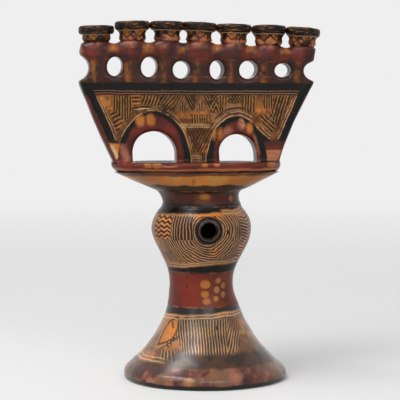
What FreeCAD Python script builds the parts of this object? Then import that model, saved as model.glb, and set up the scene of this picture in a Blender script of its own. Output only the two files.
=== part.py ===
"""A seven-light menorah in hand-built, burnished earthenware.

The clay members are modelled as a potter forms them, each one a separate solid luted onto the next:
a hollow flared foot, a stem, a hollow bulb with its vent, a neck, a flaring tray closed by an oval
shelf, a slab wall with two arches, seven short pillars, the crest they carry and seven candle cups.

Frame: +Z up, +X along the row of candles, -Y to the front, origin on the table under the stem.
Lengths are in millimetres and angles in degrees.
"""

import FreeCAD, Part
import Sketcher
import math
import operator
import os

CANDLES = 7

# Heights are of one member each, so a change in one lifts everything above it.
DIMENSIONS = {
    "clay_wall": 6.5,
    # foot: a trumpet with a thick rounded lip
    "foot_height": 70.5,
    "foot_radius": 77.0,
    "foot_ring_radius": 73.0,
    "foot_ring_width": 5.0,
    "foot_edge_level": 6.5,
    "foot_lip_radius": 71.0,
    "foot_lip_level": 15.8,
    "foot_lip_bow": 1.5,
    "foot_flare_radius": 37.5,
    "foot_flare_level": 57.0,
    "foot_flare_bow": 2.8,
    "throat_radius": 33.2,
    "throat_bow": 0.3,
    # stem: a waisted tube
    "stem_height": 32.5,
    "waist_radius": 29.6,
    "waist_level": 19.5,
    "stem_top_radius": 31.8,
    # bulb: a closed cone and dome with a vent in front
    "bulb_height": 62.0,
    "bulb_radius": 47.6,
    "bulb_widest_level": 39.5,
    "bulb_cone_radius": 45.0,
    "bulb_cone_level": 27.0,
    "vent_radius": 7.5,
    "vent_level": 40.5,
    # neck: a collar that opens upward
    "neck_height": 14.0,
    "neck_radius": 36.4,
    "neck_bow": 1.8,
    # tray: round below, oval above
    "tray_height": 17.5,
    "tray_base_radius": 40.0,
    "tray_rim_wall": 9.0,
    # shelf: an oval slab
    "shelf_half_length": 83.0,
    "shelf_half_width": 46.0,
    "shelf_thickness": 9.0,
    "shelf_round": 3.6,
    # wall: a slab that widens upward
    "wall_height": 80.0,
    "wall_thickness": 25.0,
    "wall_end_reach": 13.5,
    "wall_foot_inset": 4.5,
    "wall_end_round": 7.0,
    "arch_edge_round": 3.0,
    "left_arch_place": -39.5,
    "left_arch_radius": 21.0,
    "left_arch_jamb": 8.6,
    "right_arch_place": 39.0,
    "right_arch_radius": 18.2,
    "right_arch_jamb": 7.5,
    # pillars and the round gaps beside them
    "candle_pitch": 33.0,
    "pillar_height": 16.0,
    "pillar_round": 3.5,
    "gap_radius": 8.3,
    "end_gap_place": 14.5,
    # crest: a bar with a round seat under each cup
    "bar_height": 13.5,
    "bar_depth": 26.0,
    "bar_round": 4.5,
    "lobe_height": 16.0,
    "lobe_radius": 13.8,
    "lobe_shoulder": 4.0,
    "lobe_bow": 0.7,
    "seat_radius": 11.7,
    "seat_drop": 8.5,
    # candle cups, measured from the centre of the round seat
    "cup_rim_level": 9.5,
    "cup_foot_radius": 12.65,
    "cup_waist_radius": 12.0,
    "cup_waist_level": -3.0,
    "cup_neck_radius": 15.3,
    "cup_lip_height": 7.0,
    "cup_lip_bow": 1.3,
    "cup_flare_bow": 0.5,
    "cup_mouth_radius": 12.6,
    "cup_floor": 4.4,
    "candle_radius": 6.5,
    "candle_depth": 13.0,
}

# Every cup is pinched by hand: how much higher its rim stands, and its lean to the right.
CUP_RISES = (-2.4, 2.0, 2.4, 1.4, 0.0, -1.0, -1.6)
CUP_LEANS = (-1.5, -1.0, 1.0, 1.5, 1.5, 1.0, 5.0)

OPERATIONS = {"+": operator.add, "-": operator.sub, "*": operator.mul, "/": operator.truediv}
ORIGIN_POINT = (-1, 1)
PLUMB = FreeCAD.Vector(0, 0, 1)


class Size:
    """A number together with the formula that ties it to the sheet of dimensions."""

    def __init__(self, value, formula):
        self.value = value
        self.formula = formula

    def __add__(self, other):
        return combine(self, "+", other)

    def __radd__(self, other):
        return combine(other, "+", self)

    def __sub__(self, other):
        return combine(self, "-", other)

    def __rsub__(self, other):
        return combine(other, "-", self)

    def __mul__(self, other):
        return combine(self, "*", other)

    def __rmul__(self, other):
        return combine(other, "*", self)

    def __truediv__(self, other):
        return combine(self, "/", other)

    def __neg__(self):
        return combine(0, "-", self)


def as_size(number):
    return number if isinstance(number, Size) else Size(float(number), f"({float(number)})")


def combine(left, sign, right):
    left = as_size(left)
    right = as_size(right)
    return Size(OPERATIONS[sign](left.value, right.value), f"({left.formula} {sign} {right.formula})")


def root(size):
    return Size(math.sqrt(size.value), f"sqrt({size.formula})")


def bow_of(radius, run, rise):
    """How far an arc of this radius stands off the chord between two points."""
    return radius - root(radius * radius - (run * run + rise * rise) / 4)


def plumb_bow(run, rise):
    """The bow of an arc that is upright at one of its two ends."""
    return bow_of((run * run + rise * rise) / (2 * run), run, rise)


doc = FreeCAD.newDocument("menorah")
sheet = doc.addObject("Spreadsheet::Sheet", "Sizes")
for number in range(CANDLES):
    DIMENSIONS[f"cup_rise_{number + 1}"] = CUP_RISES[number]
    DIMENSIONS[f"cup_lean_{number + 1}"] = CUP_LEANS[number]
for row, (alias, value) in enumerate(DIMENSIONS.items(), start=1):
    sheet.set(f"A{row}", alias)
    sheet.set(f"B{row}", str(value))
    sheet.setAlias(f"B{row}", alias)
doc.recompute()
S = {alias: Size(float(sheet.get(alias)), f"Sizes.{alias}") for alias in DIMENSIONS}


def bind(feature, path, size):
    """Ties a property of a feature to the sheet."""
    feature.setExpression(path, as_size(size).formula)


def new_body(name, level):
    """A body whose own origin stands at a level on the axis of the stem."""
    body = doc.addObject("PartDesign::Body", name)
    body.Label = name
    bind(body, "Placement.Base.z", level)
    return body


def new_sketch(body, name, plane):
    """A sketch on one of the body's own origin planes."""
    sketch = body.newObject("Sketcher::SketchObject", name)
    support = next(item for item in body.Origin.OriginFeatures if item.Role == plane)
    sketch.AttachmentSupport = [(support, "")]
    sketch.MapMode = "FlatFace"
    return sketch


def hold(sketch, kind, name, size, *where):
    """Adds a named dimension to a sketch and ties it to the sheet."""
    index = sketch.addConstraint(Sketcher.Constraint(kind, *where, as_size(size).value))
    sketch.renameConstraint(index, name)
    bind(sketch, f"Constraints.{name}", size)


def place_point(sketch, geometry, end, across, up, name):
    """Fixes one point of a curve by its distances from the sketch's origin.

    A plain 0 puts it on the upright axis, which a sketch calls -2, or on the level one, -1.
    """
    if isinstance(across, Size):
        hold(sketch, "DistanceX", f"across_{name}", across, *ORIGIN_POINT, geometry, end)
    else:
        sketch.addConstraint(Sketcher.Constraint("PointOnObject", geometry, end, -2))
    if isinstance(up, Size):
        hold(sketch, "DistanceY", f"up_{name}", up, *ORIGIN_POINT, geometry, end)
    else:
        sketch.addConstraint(Sketcher.Constraint("PointOnObject", geometry, end, -1))


def arc_between(start, finish, bow):
    """An arc that bows to the right of the way from start to finish, or to the left if bow is negative."""
    step = finish - start
    side = FreeCAD.Vector(step.y, -step.x, 0).normalize()
    radius = step.Length**2 / (8 * abs(bow)) + abs(bow) / 2
    centre = (start + finish) / 2 + side * (bow - math.copysign(radius, bow))
    first, last = (start, finish) if bow > 0 else (finish, start)
    first_angle = math.atan2(first.y - centre.y, first.x - centre.x)
    last_angle = math.atan2(last.y - centre.y, last.x - centre.x)
    if last_angle < first_angle:
        last_angle += 2 * math.pi
    return Part.ArcOfCircle(Part.Circle(centre, PLUMB, radius), first_angle, last_angle)


def draw_outline(sketch, points):
    """A closed outline. A point is (across, up); a third number makes the way to it an arc of that bow.

    A plain 0 for across or up means on the axis. Outlines run anticlockwise, so a bow above 0 swells.
    """
    ways = []
    for index, point in enumerate(points):
        start = FreeCAD.Vector(*[as_size(part).value for part in points[index - 1][:2]], 0)
        finish = FreeCAD.Vector(*[as_size(part).value for part in point[:2]], 0)
        if len(point) == 2:
            ways.append((sketch.addGeometry(Part.LineSegment(start, finish)), 1, 2))
        else:
            bow = as_size(point[2]).value
            arc = sketch.addGeometry(arc_between(start, finish, bow))
            ways.append((arc, 1, 2) if bow > 0 else (arc, 2, 1))
    for index, (geometry, start, finish) in enumerate(ways):
        before, _, before_finish = ways[index - 1]
        sketch.addConstraint(Sketcher.Constraint("Coincident", before, before_finish, geometry, start))
        place_point(sketch, geometry, finish, *points[index][:2], f"of_point_{index}")
    for index, point in enumerate(points):
        if len(point) == 3:
            across = as_size(point[0]) - points[index - 1][0]
            up = as_size(point[1]) - points[index - 1][1]
            bow = as_size(point[2])
            bow = bow if bow.value > 0 else -bow
            radius = (across * across + up * up) / (8 * bow) + bow / 2
            hold(sketch, "Radius", f"round_{index}", radius, ways[index][0])


def draw_circle(sketch, across, up, radius):
    centre = FreeCAD.Vector(as_size(across).value, as_size(up).value, 0)
    geometry = sketch.addGeometry(Part.Circle(centre, PLUMB, radius.value))
    place_point(sketch, geometry, 3, across, up, "of_centre")
    hold(sketch, "Radius", "radius", radius, geometry)


def draw_oval(sketch, half_length, half_width):
    """An ellipse about the sketch's origin, long along the row."""
    centre = FreeCAD.Vector(0, 0, 0)
    geometry = sketch.addGeometry(Part.Ellipse(centre, half_length.value, half_width.value))
    sketch.exposeInternalGeometry(geometry)
    long_axis = geometry + 1
    short_axis = geometry + 2
    sketch.addConstraint(Sketcher.Constraint("Coincident", geometry, 3, *ORIGIN_POINT))
    sketch.addConstraint(Sketcher.Constraint("Horizontal", long_axis))
    hold(sketch, "Distance", "length", 2 * half_length, long_axis)
    hold(sketch, "Distance", "width", 2 * half_width, short_axis)


def turn(body, sketch, kind="Revolution"):
    """Turns a profile about the upright axis of its sketch."""
    feature = body.newObject(f"PartDesign::{kind}", kind.lower())
    feature.Profile = sketch
    feature.ReferenceAxis = (sketch, ["V_Axis"])
    feature.Angle = 360.0
    return feature


def pad(body, sketch, length, midplane=False):
    feature = body.newObject("PartDesign::Pad", "slab")
    feature.Profile = sketch
    feature.SideType = "Symmetric" if midplane else "One side"
    bind(feature, "Length", length)
    return feature


def cut_through(body, sketch, name):
    """Cuts a sketch through the body on both sides of the sketch's plane."""
    feature = body.newObject("PartDesign::Pocket", name)
    feature.Profile = sketch
    feature.SideType = "Symmetric"
    feature.Type = "ThroughAll"
    return feature


def round_edges(body, base, radius, chosen):
    """Rounds those edges of a feature that a test on the edge picks out."""
    doc.recompute()
    edges = [f"Edge{i}" for i, edge in enumerate(base.Shape.Edges, start=1) if chosen(edge)]
    feature = body.newObject("PartDesign::Fillet", "rounding")
    feature.Base = (base, edges)
    bind(feature, "Radius", radius)
    return feature


def repeat_along_row(body, features, sketch, count):
    """Repeats features to the right at the pitch of the candles."""
    feature = body.newObject("PartDesign::LinearPattern", "row")
    feature.Originals = features
    feature.Direction = (sketch, ["H_Axis"])
    feature.Mode = "Extent"
    bind(feature, "Length", S["candle_pitch"] * (count - 1))
    feature.Occurrences = count
    body.Tip = feature
    return feature


def middle_of(edge):
    return edge.valueAt((edge.FirstParameter + edge.LastParameter) / 2)


def rise_of(edge):
    return abs(edge.Vertexes[0].Point.z - edge.Vertexes[-1].Point.z)


wall = S["clay_wall"]
bore_radius = S["neck_radius"] - wall
row_half = S["candle_pitch"] * ((CANDLES - 1) / 2)
seat_ball_radius = root(S["seat_radius"] * S["seat_radius"] + S["seat_drop"] * S["seat_drop"])
gap_half_chord = root(S["gap_radius"] * S["gap_radius"] - S["pillar_height"] * S["pillar_height"] / 4)

stem_level = S["foot_height"]
bulb_level = stem_level + S["stem_height"]
neck_level = bulb_level + S["bulb_height"]
tray_level = neck_level + S["neck_height"]
shelf_level = tray_level + S["tray_height"]
wall_level = shelf_level + S["shelf_thickness"]
pillar_level = wall_level + S["wall_height"]
crest_level = pillar_level + S["pillar_height"]
cup_level = crest_level + S["lobe_height"] + S["seat_drop"]


def make_foot():
    """A trumpet, hollow and open underneath, that rests on a flat ring."""
    body = new_body("foot", 0)
    sketch = new_sketch(body, "foot_profile", "XZ_Plane")
    draw_outline(
        sketch,
        [
            (S["foot_ring_radius"] - S["foot_ring_width"], 0),
            (S["foot_ring_radius"], 0),
            (S["foot_radius"], S["foot_edge_level"], S["foot_lip_bow"]),
            (S["foot_lip_radius"], S["foot_lip_level"], S["foot_lip_bow"]),
            (S["foot_flare_radius"], S["foot_flare_level"], -S["foot_flare_bow"]),
            (S["throat_radius"], S["foot_height"], -S["throat_bow"]),
            (S["throat_radius"] - wall, S["foot_height"]),
            (S["foot_flare_radius"] - wall, S["foot_flare_level"], S["throat_bow"]),
            (S["foot_lip_radius"] - 1.5 * wall, S["foot_lip_level"], S["foot_flare_bow"]),
        ],
    )
    turn(body, sketch)


def make_stem():
    """A waisted tube, open to the foot below it."""
    body = new_body("stem", stem_level)
    sketch = new_sketch(body, "stem_profile", "XZ_Plane")
    waist = S["waist_radius"]
    waist_level = S["waist_level"]
    lower_bow = plumb_bow(S["throat_radius"] - waist, waist_level)
    upper_bow = plumb_bow(S["stem_top_radius"] - waist, S["stem_height"] - waist_level)
    draw_outline(
        sketch,
        [
            (S["throat_radius"] - wall, 0, lower_bow),
            (S["throat_radius"], 0),
            (waist, waist_level, -lower_bow),
            (S["stem_top_radius"], S["stem_height"], -upper_bow),
            (S["stem_top_radius"] - wall, S["stem_height"]),
            (waist - wall, waist_level, upper_bow),
        ],
    )
    turn(body, sketch)


def make_bulb():
    """A hollow cone and dome with a closed floor, its mouth in the neck, and a round vent in front."""
    body = new_body("bulb", bulb_level)
    sketch = new_sketch(body, "bulb_profile", "XZ_Plane")
    belly = S["bulb_radius"]
    belly_level = S["bulb_widest_level"]
    cone = S["bulb_cone_radius"]
    cone_level = S["bulb_cone_level"]
    cone_bow = plumb_bow(belly - cone, belly_level - cone_level)
    dome_bow = plumb_bow(belly - S["neck_radius"], S["bulb_height"] - belly_level)
    draw_outline(
        sketch,
        [
            (0, 0),
            (S["stem_top_radius"], 0),
            (cone, cone_level),
            (belly, belly_level, cone_bow),
            (S["neck_radius"], S["bulb_height"], dome_bow),
            (bore_radius, S["bulb_height"]),
            (belly - wall, belly_level, -dome_bow),
            (cone - wall, cone_level, -cone_bow),
            (S["stem_top_radius"] - wall, wall),
            (0, wall),
        ],
    )
    turn(body, sketch)
    vent_sketch = new_sketch(body, "vent_outline", "XZ_Plane")
    draw_circle(vent_sketch, 0, S["vent_level"], S["vent_radius"])
    vent = body.newObject("PartDesign::Pocket", "vent")
    vent.Profile = vent_sketch
    vent.Reversed = True
    bind(vent, "Length", belly)


def make_neck():
    """A collar that carries the tray; its outside opens upward and its bore is straight."""
    body = new_body("neck_collar", neck_level)
    sketch = new_sketch(body, "neck_profile", "XZ_Plane")
    draw_outline(
        sketch,
        [
            (bore_radius, 0),
            (S["neck_radius"], 0),
            (S["tray_base_radius"], S["neck_height"], -S["neck_bow"]),
            (bore_radius, S["neck_height"]),
        ],
    )
    turn(body, sketch)


def make_tray():
    """A flaring dish, round on the neck and oval under the shelf, with its hollow of the same kind."""
    body = new_body("tray", tray_level)
    oval_length = S["shelf_half_length"] - S["shelf_round"]
    oval_width = S["shelf_half_width"] - S["shelf_round"]
    rim = S["tray_rim_wall"]
    outside = ("AdditiveLoft", S["tray_base_radius"], oval_length, oval_width)
    inside = ("SubtractiveLoft", bore_radius, oval_length - rim, oval_width - rim)
    for kind, radius, half_length, half_width in (outside, inside):
        round_end = new_sketch(body, f"round_of_{kind}", "XY_Plane")
        draw_circle(round_end, 0, 0, radius)
        oval_end = new_sketch(body, f"oval_of_{kind}", "XY_Plane")
        bind(oval_end, "AttachmentOffset.Base.z", S["tray_height"])
        draw_oval(oval_end, half_length, half_width)
        loft = body.newObject(f"PartDesign::{kind}", kind)
        loft.Profile = round_end
        loft.Sections = [oval_end]


def make_shelf():
    """An oval slab with rounded rims that closes the tray."""
    body = new_body("shelf", shelf_level)
    sketch = new_sketch(body, "shelf_outline", "XY_Plane")
    draw_oval(sketch, S["shelf_half_length"], S["shelf_half_width"])
    slab = pad(body, sketch, S["shelf_thickness"])
    round_edges(body, slab, S["shelf_round"], lambda edge: isinstance(edge.Curve, Part.Ellipse))


def add_gaps(body, level):
    """Cuts the row of round gaps between neighbouring pillars, where it runs into a member."""
    sketch = new_sketch(body, "gap_outline", "XZ_Plane")
    draw_circle(sketch, S["candle_pitch"] / 2 - row_half, level, S["gap_radius"])
    gap = cut_through(body, sketch, "gap")
    repeat_along_row(body, [gap], sketch, CANDLES - 1)


def make_wall():
    """A slab wall that widens upward, with two arches that are open at its foot."""
    body = new_body("wall_panel", wall_level)
    sketch = new_sketch(body, "wall_outline", "XZ_Plane")
    low = S["shelf_half_length"] - S["wall_foot_inset"]
    high = row_half + S["wall_end_reach"]
    height = S["wall_height"]
    draw_outline(sketch, [(-low, 0), (low, 0), (high, height), (-high, height)])
    slab = pad(body, sketch, S["wall_thickness"], midplane=True)
    last = round_edges(body, slab, S["wall_end_round"], lambda edge: rise_of(edge) > 1)
    for side in ("left", "right"):
        arch_sketch = new_sketch(body, f"{side}_arch_outline", "XZ_Plane")
        place = S[f"{side}_arch_place"]
        radius = S[f"{side}_arch_radius"]
        jamb = S[f"{side}_arch_jamb"]
        bow = bow_of(radius, radius, radius)
        jambs = [(place - radius, jamb, bow), (place - radius, 0), (place + radius, 0)]
        draw_outline(arch_sketch, jambs + [(place + radius, jamb), (place, jamb + radius, bow)])
        last = cut_through(body, arch_sketch, f"{side}_arch")
    face = S["wall_thickness"].value / 2
    reach = low.value - S["wall_end_round"].value

    def on_arch_rim(edge):
        middle = middle_of(edge)
        on_a_face = abs(abs(middle.y) - face) < 0.01
        return on_a_face and abs(middle.x) < reach and 0.5 < middle.z < height.value - 0.5

    round_edges(body, last, S["arch_edge_round"], on_arch_rim)
    add_gaps(body, height + S["pillar_height"] / 2)


def make_pillar(number):
    """A short pillar between two round gaps; the outer gap of an end pillar is set further in."""
    body = new_body(f"pillar_{number}", pillar_level)
    bind(body, "Placement.Base.x", S["candle_pitch"] * (number - 1) - row_half)
    sketch = new_sketch(body, "pillar_outline", "XZ_Plane")
    left_place = S["end_gap_place"] if number == 1 else S["candle_pitch"] / 2
    right_place = S["end_gap_place"] if number == CANDLES else S["candle_pitch"] / 2
    left = gap_half_chord - left_place
    right = right_place - gap_half_chord
    bow = gap_half_chord - S["gap_radius"]
    height = S["pillar_height"]
    draw_outline(sketch, [(left, 0, bow), (right, 0), (right, height, bow), (left, height)])
    slab = pad(body, sketch, S["wall_thickness"], midplane=True)
    round_edges(body, slab, S["pillar_round"], lambda edge: rise_of(edge) > 1)


def make_crest():
    """The bar that the pillars carry, with a round raised seat for each cup."""
    body = new_body("crest", crest_level)
    bar_sketch = new_sketch(body, "bar_outline", "XZ_Plane")
    top = S["bar_height"]
    draw_outline(bar_sketch, [(-row_half, 0), (row_half, 0), (row_half, top), (-row_half, top)])
    bar = pad(body, bar_sketch, S["bar_depth"], midplane=True)

    def on_top(edge):
        middle = middle_of(edge)
        return middle.z > top.value - 0.01 and abs(middle.x) < 1

    round_edges(body, bar, S["bar_round"], on_top)
    lobe_sketch = new_sketch(body, "lobe_profile", "XZ_Plane")
    bind(lobe_sketch, "AttachmentOffset.Base.x", -row_half)
    lobe = S["lobe_radius"]
    lobe_top = S["lobe_height"]
    shoulder_level = lobe_top - S["lobe_shoulder"]
    shoulder = (S["seat_radius"], lobe_top, S["lobe_bow"])
    draw_outline(lobe_sketch, [(0, 0), (lobe, 0), (lobe, shoulder_level), shoulder, (0, lobe_top)])
    lobe_feature = turn(body, lobe_sketch)
    seat_sketch = new_sketch(body, "seat_profile", "XZ_Plane")
    bind(seat_sketch, "AttachmentOffset.Base.x", -row_half)
    seat_floor = lobe_top + S["seat_drop"] - seat_ball_radius
    seat_bow = bow_of(seat_ball_radius, S["seat_radius"], lobe_top - seat_floor)
    seat_rim = (S["seat_radius"], lobe_top, seat_bow)
    draw_outline(seat_sketch, [(0, seat_floor), seat_rim, (0, lobe_top + S["seat_drop"])])
    seat_feature = turn(body, seat_sketch, "Groove")
    repeat_along_row(body, [lobe_feature, seat_feature], lobe_sketch, CANDLES)
    add_gaps(body, -S["pillar_height"] / 2)


def make_cup(number):
    """A pinched cup on a round base, with a funnel down to the straight socket for the candle."""
    body = new_body(f"candle_cup_{number}", cup_level)
    body.Placement.Rotation = FreeCAD.Rotation(FreeCAD.Vector(0, 1, 0), CUP_LEANS[number - 1])
    bind(body, "Placement.Base.x", S["candle_pitch"] * (number - 1) - row_half)
    bind(body, "Placement.Rotation.Angle", S[f"cup_lean_{number}"])
    sketch = new_sketch(body, "cup_profile", "XZ_Plane")
    base = S["cup_foot_radius"]
    base_level = -root(seat_ball_radius * seat_ball_radius - base * base)
    base_bow = bow_of(seat_ball_radius, base, base_level + seat_ball_radius)
    rim_level = S["cup_rim_level"] + S[f"cup_rise_{number}"]
    socket_floor = S["cup_floor"] - seat_ball_radius
    draw_outline(
        sketch,
        [
            (0, -seat_ball_radius),
            (base, base_level, base_bow),
            (S["cup_waist_radius"], S["cup_waist_level"]),
            (S["cup_neck_radius"], rim_level - S["cup_lip_height"], -S["cup_flare_bow"]),
            (S["cup_neck_radius"], rim_level, S["cup_lip_bow"]),
            (S["cup_mouth_radius"], rim_level),
            (S["candle_radius"], socket_floor + S["candle_depth"]),
            (S["candle_radius"], socket_floor),
            (0, socket_floor),
        ],
    )
    turn(body, sketch)


make_foot()
make_stem()
make_bulb()
make_neck()
make_tray()
make_shelf()
make_wall()
for number in range(1, CANDLES + 1):
    make_pillar(number)
make_crest()
for number in range(1, CANDLES + 1):
    make_cup(number)
doc.recompute()

for item in doc.Objects:
    if "Invalid" in item.State or "Error" in item.State:
        raise RuntimeError(f"{item.Label} did not build: {item.State}")

os.makedirs("parts", exist_ok=True)
for body in doc.findObjects("PartDesign::Body"):
    shape = body.Shape
    if shape.isNull() or not shape.isValid() or len(shape.Solids) != 1:
        raise RuntimeError(f"{body.Label} is not one valid solid")
    shape.exportStep(f"parts/{body.Label}.step")
    box = shape.BoundBox
    corners = [round(value, 1) for value in (box.XMin, box.YMin, box.ZMin, box.XMax, box.YMax, box.ZMax)]
    print(body.Label, corners, round(shape.Volume))
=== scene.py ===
"""The looks of a seven-light menorah in hand-built, burnished and incised earthenware."""

import math
from collections import namedtuple

import bmesh
import bpy
import numpy as np
from mathutils import Matrix, Vector, noise


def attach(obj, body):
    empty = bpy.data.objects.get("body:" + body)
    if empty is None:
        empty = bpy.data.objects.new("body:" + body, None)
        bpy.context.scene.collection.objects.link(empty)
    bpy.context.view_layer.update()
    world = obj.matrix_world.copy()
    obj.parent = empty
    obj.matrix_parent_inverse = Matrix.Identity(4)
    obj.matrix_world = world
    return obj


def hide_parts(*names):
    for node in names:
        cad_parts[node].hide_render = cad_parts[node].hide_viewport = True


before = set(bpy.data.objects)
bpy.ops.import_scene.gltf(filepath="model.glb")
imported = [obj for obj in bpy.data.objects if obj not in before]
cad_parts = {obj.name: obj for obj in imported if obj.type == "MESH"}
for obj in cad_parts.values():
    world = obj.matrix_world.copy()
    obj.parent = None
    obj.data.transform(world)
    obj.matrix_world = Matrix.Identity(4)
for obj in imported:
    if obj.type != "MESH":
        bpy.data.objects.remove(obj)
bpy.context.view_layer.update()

# The noise starts from the clock unless it is given a seed.
HAND_SEED = 7
noise.seed_set(HAND_SEED)

MM = 0.001
CANDLES = 7
PITCH = 33.0

# Levels of the seams between the clay members, in millimetres above the table.
STEM_SEAM = 70.5
BULB_SEAM = 103.0
NECK_SEAM = 165.0
TRAY_SEAM = 179.0
SHELF_SEAM = 196.5
WALL_SEAM = 205.5
PILLAR_SEAM = 285.5
CREST_SEAM = 301.5
CUP_SEAT = 326.0

# Sizes that more than one member shares: the round base of a cup in its seat, and the wall's half lengths.
SEAT_BALL = math.hypot(11.7, 8.5)
WALL_FOOT_HALF = 79.0
WALL_TOP_HALF = 114.4
WALL_LEAN = math.atan2(WALL_TOP_HALF - WALL_FOOT_HALF, PILLAR_SEAM - WALL_SEAM)

# How the hand-built pot stands out of true: sideways drift of its axis at each level.
AXIS_LEVELS = (0, 70, 83, 103, 123, 143, 155, 167, 177, 195, 208, 243, 293, 308, 319, 338)
AXIS_DRIFT = (2.4, 0.5, -0.9, -0.8, -0.6, -1.2, -0.8, -0.8, -3.4, -5.0, -6.0, -7.2, -4.8, -4.2, -2.0, -1.0)

# How far the crest sags or rises above true, along the row.
CREST_PLACES = (-120, -99, -66, -33, 0, 33, 66, 99, 120)
CREST_RISES = (1.4, 1.0, 2.2, 3.0, 1.8, 0.4, -1.6, -2.2, -2.4)


def smooth_step(low, high, value):
    """0 at low and before, 1 at high and beyond, with an easy start and end."""
    share = np.clip((value - low) / (high - low), 0.0, 1.0)
    return share * share * (3 - 2 * share)


def hand_shape(point):
    """Moves a point of the true form to where the potter's hand left it. Millimetres."""
    x, y, z = point
    drift = float(np.interp(z, AXIS_LEVELS, AXIS_DRIFT))
    lift = float(np.interp(x, CREST_PLACES, CREST_RISES)) * float(smooth_step(282, 309, z))
    slow = noise.noise_vector(Vector(point) * 0.021)
    quick = noise.noise_vector(Vector(point) * 0.07 + Vector((7, 3, 1)))
    grounded = float(smooth_step(0, 12, z))
    moved = slow * 1.1 + quick * 0.35
    return Vector((x + drift + moved.x, y + moved.y, z + lift + moved.z * 0.7 * grounded))


def mesh_from(name, bm):
    """A mesh of the faces laid so far, all turned outward."""
    bmesh.ops.recalc_face_normals(bm, faces=bm.faces)
    mesh = bpy.data.meshes.new(name)
    bm.to_mesh(mesh)
    bm.free()
    return mesh


def add_object(name, data):
    """A new object in the scene."""
    made = bpy.data.objects.new(name, data)
    bpy.context.scene.collection.objects.link(made)
    return made


def finish_piece(name, mesh, nodes, finish):
    """Places a mesh made in millimetres as a piece that stands for its nodes."""
    mesh.transform(Matrix.Scale(MM, 4))
    for polygon in mesh.polygons:
        polygon.use_smooth = True
    mesh.set_sharp_from_angle(angle=math.radians(50))
    piece = add_object(name, mesh)
    mesh.materials.append(finish)
    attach(piece, "root")
    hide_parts(*nodes)


def lathe(name, outline, turns=144, shape=hand_shape):
    """A closed ring-built form. The outline runs round the clay as (half length, half width, level)."""
    bm = bmesh.new()
    rings = []
    for long_half, wide_half, level in outline:
        count = turns if long_half > 0 else 1
        ring = []
        for step in range(count):
            angle = 2 * math.pi * step / turns
            at = (long_half * math.cos(angle), wide_half * math.sin(angle), level)
            ring.append(bm.verts.new(shape(at)))
        rings.append(ring)
    for index, upper in enumerate(rings):
        lower = rings[index - 1]
        if len(lower) == 1 and len(upper) == 1:
            continue
        for step in range(turns):
            after = (step + 1) % turns
            corners = [lower[step % len(lower)], lower[after % len(lower)]]
            corners += [upper[after % len(upper)], upper[step % len(upper)]]
            bm.faces.new(list(dict.fromkeys(corners)))
    return mesh_from(name, bm)


def through(points, spacing=1.2):
    """A smooth line through points (radius, level), with points about a spacing apart."""
    points = [Vector(point) for point in points]
    line = [points[0]]
    for index in range(len(points) - 1):
        first, start, end, last = (points[max(0, min(len(points) - 1, index + k))] for k in (-1, 0, 1, 2))
        steps = max(1, round((end - start).length / spacing))
        for step in range(1, steps + 1):
            t = step / steps
            bend = (2 * start - 2 * end + (end - first) / 2 + (last - start) / 2) * t**3
            bend += (3 * end - 3 * start - (end - first) - (last - start) / 2) * t**2
            line.append(bend + (end - first) / 2 * t + start)
    return [(point.x, point.y) for point in line]


def between(line, low, high):
    """The part of an upward line between two levels, cut exactly at both."""
    radii = [point[0] for point in line]
    levels = [point[1] for point in line]
    inner = [point for point in line if low + 0.3 < point[1] < high - 0.3]
    first, last = (float(np.interp(level, levels, radii)) for level in (low, high))
    return [(first, low), *inner, (last, high)]


def round_outline(outside, inside):
    """Both faces of a turned wall as one outline: up the outside and down the inside."""
    return [(r, r, level) for r, level in outside + inside[::-1]]


# The line of the turned body, from the top of the foot's lip to the neck.
BODY_LINE = through([
    (77.0, 6.0), (76.5, 8.7), (74.6, 11.6), (71.6, 14.2), (68.2, 17.3), (63.9, 21.5), (59.2, 26.4),
    (54.7, 31.4), (51.0, 36.2), (47.5, 41.0), (44.5, 46.0), (41.6, 51.0), (39.2, 55.6), (37.2, 60.0),
    (35.4, 65.0), (33.6, 70.5), (31.8, 77.0), (30.6, 84.0), (30.2, 90.0), (30.6, 96.0), (31.5, 100.5),
    (32.6, 104.0), (34.2, 108.0), (36.3, 112.5), (38.6, 117.0), (40.9, 121.8), (43.2, 126.5), (45.4, 131.2),
    (46.9, 136.0), (47.6, 141.0), (47.3, 146.0), (46.0, 151.0), (43.7, 155.6), (40.9, 159.8), (38.3, 163.0),
    (36.9, 166.5), (36.4, 170.0), (36.8, 173.5), (38.0, 176.6), (40.0, 179.0),
])
LIP_LINE = through([(73.4, 0.0), (75.2, 0.3), (76.6, 2.2), (77.0, 6.0)], 0.6)


def make_foot():
    """A hollow trumpet on a thick rounded lip."""
    outside = LIP_LINE[:-1] + between(BODY_LINE, 6.0, STEM_SEAM)
    inside = through([(68.0, 0.0), (66.0, 5.0), (61.5, 14.5), (52.0, 25.0),
                      (43.5, 36.0), (35.5, 48.0), (30.5, 58.0), (26.7, STEM_SEAM)], 3)
    return lathe("foot", round_outline(outside, inside))


def make_stem():
    """A waisted tube."""
    inside = through([(26.7, STEM_SEAM), (23.2, 90.0), (25.3, BULB_SEAM)], 3)
    return lathe("stem", round_outline(between(BODY_LINE, STEM_SEAM, BULB_SEAM), inside))


VENT_LEVEL = 143.5
VENT_RADIUS = 7.3
VENT_PLACE = -1.2
BULB_FLOOR = 109.5
NECK_BORE = 29.9


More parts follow.
